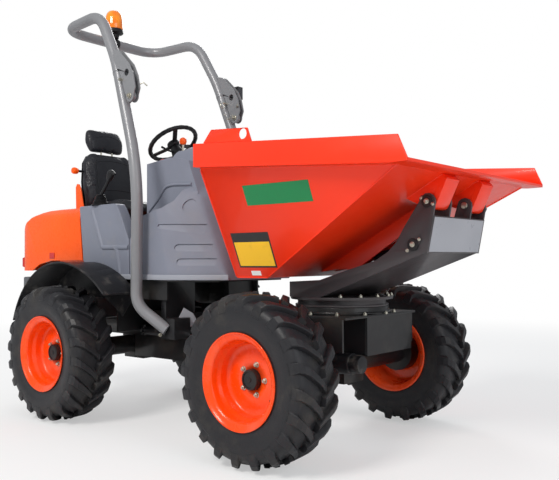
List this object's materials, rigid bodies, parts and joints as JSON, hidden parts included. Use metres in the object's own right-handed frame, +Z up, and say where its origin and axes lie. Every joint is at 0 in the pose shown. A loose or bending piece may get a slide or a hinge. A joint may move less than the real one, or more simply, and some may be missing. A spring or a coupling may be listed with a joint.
{
  "type": "articulated site dumper",
  "caption": "Articulated four-wheel site dumper with a swivelling, front-tipping skip, folding roll bar, open driver's seat and rear engine hood.",
  "frame": {"origin": "on the ground, under the middle of the machine's length, on its centre plane", "axes": "+X ahead towards the skip, +Y to the driver's left, +Z up"},
  "size_m": [3.227, 1.519, 2.6583],
  "materials": {
    "black_plastic": "black moulding",
    "chassis_paint": "black enamel",
    "cowl_plastic": "grained grey moulding",
    "frame_paint": "charcoal powder coat",
    "hood_plastic": "gloss orange paint",
    "iron": "painted casting",
    "lens_amber": "amber lens",
    "rod_chrome": "polished rod",
    "rubber_tyre": "moulded rubber",
    "skip_paint": "satin orange-red enamel",
    "tube_paint": "grey powder coat",
    "vinyl": "black seat vinyl",
    "wheel_paint": "gloss orange enamel",
    "zinc": "zinc plated"
  },
  "bodies": {
    "rear_chassis": {"rear_axle": "chassis_paint", "rear_frame": "chassis_paint", "steering_base_pin": "zinc", "steering_column": "black_plastic", "seat_base": "black_plastic", "drive_lever": "black_plastic", "mudguard_right": "black_plastic", "mudguard_left": "black_plastic", "engine_block": "iron", "counterweight": "iron", "cowl": "cowl_plastic", "sill_right": "cowl_plastic", "sill_left": "cowl_plastic", "side_panel_right": "cowl_plastic", "side_panel_left": "cowl_plastic", "seat_box": "hood_plastic", "seat_cushion": "vinyl", "seat_back": "vinyl", "headrest": "vinyl", "rops_post_right": "tube_paint", "rops_post_left": "tube_paint"},
    "steering_wheel": {"steering_wheel": "black_plastic"},
    "hood": {"engine_hood": "hood_plastic"},
    "rops": {"rops_hoop": "tube_paint", "beacon_base": "black_plastic", "beacon_lens": "lens_amber", "work_lamp": "black_plastic"},
    "front_chassis": {"front_frame": "chassis_paint", "front_axle": "chassis_paint", "slew_ring_fixed": "chassis_paint", "drive_motor": "black_plastic", "articulation_pin": "zinc"},
    "skip_carrier": {"skip_subframe": "frame_paint", "slew_ring_turning": "frame_paint", "tip_pivot_pin_right": "zinc", "tip_pivot_pin_left": "zinc", "tip_base_pin": "zinc"},
    "skip": {"skip": "skip_paint", "skip_lifting_plate_right": "skip_paint", "skip_lifting_plate_left": "skip_paint", "tip_bracket_right": "skip_paint", "tip_bracket_left": "skip_paint", "cylinder_bracket_right": "skip_paint", "cylinder_bracket_left": "skip_paint"},
    "tip_barrel": {"tip_cylinder_barrel": "black_plastic"},
    "tip_rod": {"tip_cylinder_rod": "rod_chrome"},
    "steer_barrel": {"steering_cylinder_barrel": "black_plastic"},
    "steer_rod": {"steering_cylinder_rod": "rod_chrome"},
    "wheel_front_right": {"front_tyre_right": "rubber_tyre", "front_rim_right": "wheel_paint"},
    "wheel_front_left": {"front_tyre_left": "rubber_tyre", "front_rim_left": "wheel_paint"},
    "wheel_rear_right": {"rear_tyre_right": "rubber_tyre", "rear_rim_right": "wheel_paint"},
    "wheel_rear_left": {"rear_tyre_left": "rubber_tyre", "rear_rim_left": "wheel_paint"}
  },
  "joints": [
    {"name": "articulation", "type": "hinge", "parent": "rear_chassis", "child": "front_chassis", "pos_m": [0.025, 0, 0.51], "axis": [0, 0, 1], "range_deg": [-30, 30]},
    {"name": "skip_swivel", "type": "hinge", "parent": "front_chassis", "child": "skip_carrier", "pos_m": [0.8265, 0, 0.687], "axis": [0, 0, 1], "range_deg": [-90, 90]},
    {"name": "skip_tip", "type": "hinge", "parent": "skip_carrier", "child": "skip", "pos_m": [1.4615, 0, 1.168], "axis": [0, 1, 0], "range_deg": [0, 82]},
    {"name": "tip_cylinder_swing", "type": "hinge", "parent": "skip_carrier", "child": "tip_barrel", "pos_m": [1.3905, 0, 0.983], "axis": [0, 1, 0], "range_deg": [-5, 85]},
    {"name": "tip_cylinder_stroke", "type": "slide", "parent": "tip_barrel", "child": "tip_rod", "axis": [-0.9805, 0, -0.1966], "range_m": [0, 0.27]},
    {"name": "steering_cylinder_swing", "type": "hinge", "parent": "rear_chassis", "child": "steer_barrel", "pos_m": [-0.4985, -0.2, 0.5], "axis": [0, 0, 1], "range_deg": [-5, 5]},
    {"name": "steering_cylinder_stroke", "type": "slide", "parent": "steer_barrel", "child": "steer_rod", "axis": [0.9997, -0.0263, 0], "range_m": [-0.115, 0.115]},
    {"name": "steering_wheel_turn", "type": "hinge", "parent": "rear_chassis", "child": "steering_wheel", "pos_m": [-0.4655, 0, 1.658], "axis": [-0.5736, 0, 0.8192], "range_deg": [-540, 540]},
    {"name": "hood_hinge", "type": "hinge", "parent": "rear_chassis", "child": "hood", "pos_m": [-1.5685, 0, 0.87], "axis": [0, -1, 0], "range_deg": [0, 60]},
    {"name": "rops_fold", "type": "hinge", "parent": "rear_chassis", "child": "rops", "pos_m": [-0.3235, 0, 1.865], "axis": [0, -1, 0], "range_deg": [-145, 0]},
    {"name": "wheel_spin_front_left", "type": "hinge", "parent": "front_chassis", "child": "wheel_front_left", "pos_m": [0.8015, 0.6275, 0.39], "axis": [0, 1, 0], "continuous": true},
    {"name": "wheel_spin_front_right", "type": "hinge", "parent": "front_chassis", "child": "wheel_front_right", "pos_m": [0.8015, -0.6275, 0.39], "axis": [0, 1, 0], "continuous": true},
    {"name": "wheel_spin_rear_left", "type": "hinge", "parent": "rear_chassis", "child": "wheel_rear_left", "pos_m": [-0.7515, 0.6275, 0.39], "axis": [0, 1, 0], "continuous": true},
    {"name": "wheel_spin_rear_right", "type": "hinge", "parent": "rear_chassis", "child": "wheel_rear_right", "pos_m": [-0.7515, -0.6275, 0.39], "axis": [0, 1, 0], "continuous": true}
  ],
  "couplings": [
    {"joint": "tip_cylinder_swing", "follows": "skip_tip", "ratio": 0.99},
    {"joint": "tip_cylinder_stroke", "follows": "skip_tip", "m_per_rad": 0.1861},
    {"joint": "steering_cylinder_swing", "follows": "articulation", "ratio": 0.09},
    {"joint": "steering_cylinder_stroke", "follows": "articulation", "m_per_rad": 0.2092}
  ]
}
